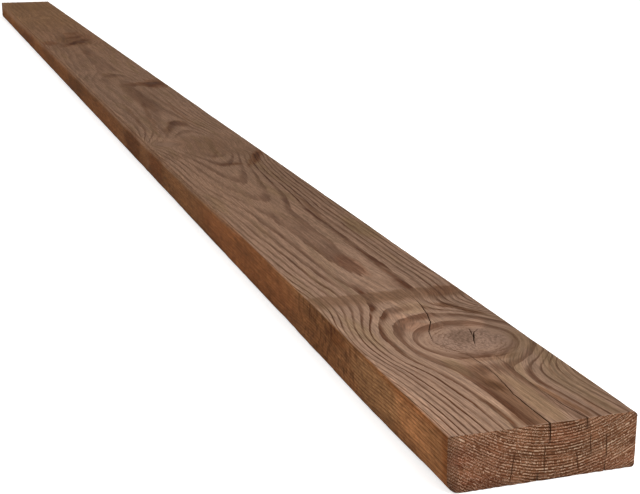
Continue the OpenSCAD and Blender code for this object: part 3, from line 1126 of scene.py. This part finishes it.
def surface_fields(at, on_end, narrow, painted_highlight, wood):
    """Shade, tint and figure of the wood at each point, as it weathered, with painted highlights and painted
    shade among them.
    """
    along, across, up = at.T
    on_wide = (1 - narrow) * np.where(on_end, 0, 1)
    on_edge = narrow * np.where(on_end, 0, 1)
    on_split_end = np.where(on_end & (along < LENGTH / 2), 1, 0)
    upper = ease(*UPPER_START, up / THICKNESS) * on_wide
    shade = slow_shade(at, on_end, on_wide, on_edge, upper, painted_highlight)
    brown = brown_treatment(along, on_wide, narrow)
    tint = np.zeros(len(at))
    figure = through(FIGURE, along)
    ragged = STICK_RAG * drift(at, (16, 7, 7), 13)
    for middle, wide, strength in STICK_STAINS:
        blur = STICK_BLUR + FAR_STICK_BLUR * ease(600, 1500, middle)
        stained = on_wide * strength * stick_cover(along + ragged - middle, wide, blur)
        shade = shade - STICK_SHADE * stained
        brown = brown + STICK_BROWN * stained
        figure = figure * (1 - STICK_HIDES * stained)
    # Stains soak along the fibres, so their rims are loose, and more so further along
    soaked = along + SOAK * drift(at, (30, 12, 12), 14)
    soaked = soaked + FAR_SOAK * ease(900, 1500, along) * drift(at, (90, 6, 6), 18)
    spread = across + SPREAD * drift(at, (30, 12, 12), 15)
    # Among the blotches are painted highlights along the left edge and painted shade low on the split end
    for blotches, run, beside, where, browns in (
        (BLOTCHES, soaked, spread, upper, 1),
        (EDGE_BLOTCHES, soaked, up, on_edge, 1),
        (END_BLOTCHES, across, up, on_split_end, 0),
    ):
        for *oval, lighter, hue in blotches:
            share = cover(run, beside, oval) * where
            shade = shade + lighter * share
            tint = tint + hue * share
            brown = brown + browns * max(0, -lighter) * share
    figure = figure * (1 - EDGE_HIDES * on_edge * ease(200, 450, along))
    fleck = np.zeros(len(at))
    for *oval, strength in EDGE_FLECKS:
        fleck = np.maximum(fleck, strength * cover(along, up, oval) * on_edge)
    for *oval, hidden in DIM_AREAS:
        figure = figure * (1 - hidden * cover(along, across, oval) * upper)
    tint = np.clip(tint + FAR_OLIVE * ease(2500, 3000, along) * on_wide, -1, 1)
    rim = wood["knot"] + KNOT_RAG * drift(at, (9, 7, 7), 16)
    return {
        "shade": 1 + shade,
        "tint": tint,
        "brown": brown,
        "figure": figure,
        "inside": KNOT_SHOWS * wood["plain"] * ease(*KNOT_FACE, rim),
        "fleck": fleck,
    }


# The bake map: lengths that the plank is divided into, and in millimetres the gap between them,
# the map's side and the shift between a split's two walls
BAKE_LENGTHS = 3
BAKE_GAP = 4.0
BAKE_SIDE = 1240.0
WALL_SHIFT = LENGTH / 10


def girdle(middle, across, up):
    """Millimetres round the section, from the left edge's foot, of a place on a face with that middle."""
    upper = middle[2] > THICKNESS / 2
    if middle[1] < 0 and (upper or middle[1] < NEAR - HALF_WIDTH):
        return up + across + HALF_WIDTH
    if upper:
        return THICKNESS + HALF_WIDTH + across + THICKNESS - up
    if middle[1] >= 0:
        return 2 * THICKNESS + WIDTH - up + HALF_WIDTH - across
    return 2 * THICKNESS + WIDTH + HALF_WIDTH - across + up


def bake_place(face, middle, corner):
    """Place on the bake map, in millimetres, of a corner of a face."""
    along, across, up = corner
    girth = 2 * (WIDTH + THICKNESS) + BAKE_GAP
    above = BAKE_LENGTHS * girth
    if face.material_index == END_GRAIN:
        beside = WIDTH + BAKE_GAP if middle[0] > LENGTH / 2 else 0
        return across + HALF_WIDTH + beside, up + above
    if face.material_index == SPLIT_WALL:
        beside = WALL_SHIFT if face.normal.y > 0 else 0
        return 2 * (WIDTH + BAKE_GAP) + along + beside, up + above
    run = LENGTH / BAKE_LENGTHS
    row = min(BAKE_LENGTHS - 1, int(middle[0] // run))
    return along - row * run + BAKE_GAP, girdle(middle, across, up) + row * girth


def unroll(mesh, at):
    """Bake map: the long faces unrolled in lengths, one over another, with the ends and splits above."""
    uv = mesh.uv_layers.new(name="OFBake").data
    places = np.zeros((len(mesh.loops), 2))
    for face in mesh.polygons:
        corners = at[list(face.vertices)]
        middle = corners.mean(axis=0)
        for loop, corner in zip(face.loop_indices, corners):
            places[loop] = bake_place(face, middle, corner)
    uv.foreach_set("uv", ((places + BAKE_GAP) / BAKE_SIDE).ravel())


# Angle over which an edge of the mesh is shaded sharp
SHARP_ANGLE = math.radians(38)


class TIMBER_OT_plank(bpy.types.Operator):
    """Makes the weathered plank from the plain solid"""

    bl_idname = "timber.plank"
    bl_label = "Weathered plank"

    def execute(self, context):
        grain = context.scene.plank_grain
        colours = context.scene.plank_colours
        bm = sawn_mesh()
        sort_faces(bm)
        fields, at = weather(bm, grain)
        mesh = bpy.data.meshes.new(PIECE)
        bm.to_mesh(mesh)
        bm.free()
        for name, values in fields.items():
            attribute = mesh.attributes.new(name, "FLOAT", "POINT")
            attribute.data.foreach_set("value", values.astype(np.float32))
        mesh.materials.append(long_grain_material(colours, grain))
        mesh.materials.append(end_grain_material(colours, grain))
        mesh.materials.append(split_material(colours))
        unroll(mesh, at)
        mesh.set_sharp_from_angle(angle=SHARP_ANGLE)
        piece = bpy.data.objects.new(PIECE, mesh)
        context.scene.collection.objects.link(piece)
        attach(piece, "root")
        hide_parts(NODE)
        return {"FINISHED"}


WHITE = (1, 1, 1, 1)
# Half the floor's side, and how far it lies under the plank, in metres
FLOOR_REACH = 30
FLOOR_DROP = 0.0002
FLOOR_ROUGHNESS = 0.9
# Lamps: name, place in metres, place along the plank that it aims at, and power in watts
LAMPS = [
    ("key", (2.6, 0.9, 2.4), 1.2, 44),
    ("fill", (3.6, -2.4, 1.2), 1.2, 8),
    ("back", (-1.6, 0.9, 2.4), -1.2, 12),
]
LAMP_SIZE = 2
# The camera's sensor in millimetres, and the nearest place in metres that it sees
SENSOR_WIDTH = 36
CLIP_START = 0.01


def lay_floor(scene, studio):
    """Lays the pale floor, which looks white and keeps the plank's shadow."""
    bm = bmesh.new()
    bmesh.ops.create_grid(bm, x_segments=1, y_segments=1, size=FLOOR_REACH)
    bmesh.ops.translate(bm, verts=bm.verts, vec=(0, 0, -FLOOR_DROP))
    mesh = bpy.data.meshes.new("floor")
    bm.to_mesh(mesh)
    bm.free()
    material, node, shader = new_material("pale_paper")
    shader["Base Color"].default_value = opaque(studio.floor)
    shader["Roughness"].default_value = FLOOR_ROUGHNESS
    shader["Emission Color"].default_value = WHITE
    glow = node("multiply", seen(node), studio.glow)
    material.node_tree.links.new(glow, shader["Emission Strength"])
    mesh.materials.append(material)
    floor = bpy.data.objects.new("floor", mesh)
    scene.collection.objects.link(floor)


def light_sky(scene, studio):
    """Lights the plank evenly all round, before a white background."""
    world = bpy.data.worlds.new("studio")
    scene.world = world
    world.use_nodes = True
    world.node_tree.nodes.clear()
    node = functools.partial(add, world.node_tree)
    sky = node("Background", WHITE, studio.sky)
    white = node("Background", WHITE, 1.0)
    node("OutputWorld", node("MixShader", seen(node), sky, white))


def hang_lamps(scene):
    """Hangs the soft lamps, each aimed at the plank."""
    for name, place, aim, power in LAMPS:
        lamp = bpy.data.lights.new(name, "AREA")
        lamp.size = LAMP_SIZE
        lamp.energy = power
        light = bpy.data.objects.new(name, lamp)
        light.location = place
        way = Vector((aim, 0, 0)) - Vector(place)
        light.rotation_euler = way.to_track_quat("-Z", "Y").to_euler()
        scene.collection.objects.link(light)


def set_camera(scene, studio):
    """Sets the camera where the photograph was taken from."""
    lens = bpy.data.cameras.new("camera")
    lens.sensor_fit = "HORIZONTAL"
    lens.sensor_width = SENSOR_WIDTH
    lens.lens = studio.focal / IMAGE_WIDTH * SENSOR_WIDTH
    lens.clip_start = CLIP_START
    turn, tilt = studio.azimuth, studio.elevation
    back = Vector((math.sin(turn) * math.cos(tilt), -math.cos(turn) * math.cos(tilt), math.sin(tilt)))
    camera = bpy.data.objects.new("camera", lens)
    camera.location = studio.place
    camera.rotation_euler = (-back).to_track_quat("-Z", "Y").to_euler()
    scene.collection.objects.link(camera)
    scene.camera = camera


class TIMBER_OT_studio(bpy.types.Operator):
    """Sets the pale floor, the soft lights and the camera"""

    bl_idname = "timber.studio"
    bl_label = "Studio"

    def execute(self, context):
        scene = context.scene
        studio = scene.plank_studio
        scene.view_settings.view_transform = "Standard"
        lay_floor(scene, studio)
        light_sky(scene, studio)
        hang_lamps(scene)
        set_camera(scene, studio)
        return {"FINISHED"}


class TIMBER_PT_sidebar(bpy.types.Panel):
    """Lists the makers of the plank and its studio"""

    bl_label = "Treated softwood plank"
    bl_space_type = "VIEW_3D"
    bl_region_type = "UI"
    bl_category = "Timber"

    def draw(self, context):
        scene = context.scene
        for settings in (scene.plank_grain, scene.plank_colours, scene.plank_studio):
            box = self.layout.box()
            for name in settings.__annotations__:
                box.prop(settings, name)
        self.layout.operator(TIMBER_OT_plank.bl_idname)
        self.layout.operator(TIMBER_OT_studio.bl_idname)


CLASSES = (PlankGrain, PlankColours, PlankStudio, TIMBER_OT_plank, TIMBER_OT_studio, TIMBER_PT_sidebar)


def register():
    for made in CLASSES:
        bpy.utils.register_class(made)
    bpy.types.Scene.plank_grain = bpy.props.PointerProperty(type=PlankGrain)
    bpy.types.Scene.plank_colours = bpy.props.PointerProperty(type=PlankColours)
    bpy.types.Scene.plank_studio = bpy.props.PointerProperty(type=PlankStudio)


def unregister():
    del bpy.types.Scene.plank_studio
    del bpy.types.Scene.plank_colours
    del bpy.types.Scene.plank_grain
    for made in reversed(CLASSES):
        bpy.utils.unregister_class(made)


def main():
    register()
    bpy.ops.timber.studio()
    bpy.ops.timber.plank()


if __name__ == "__main__":
    main()
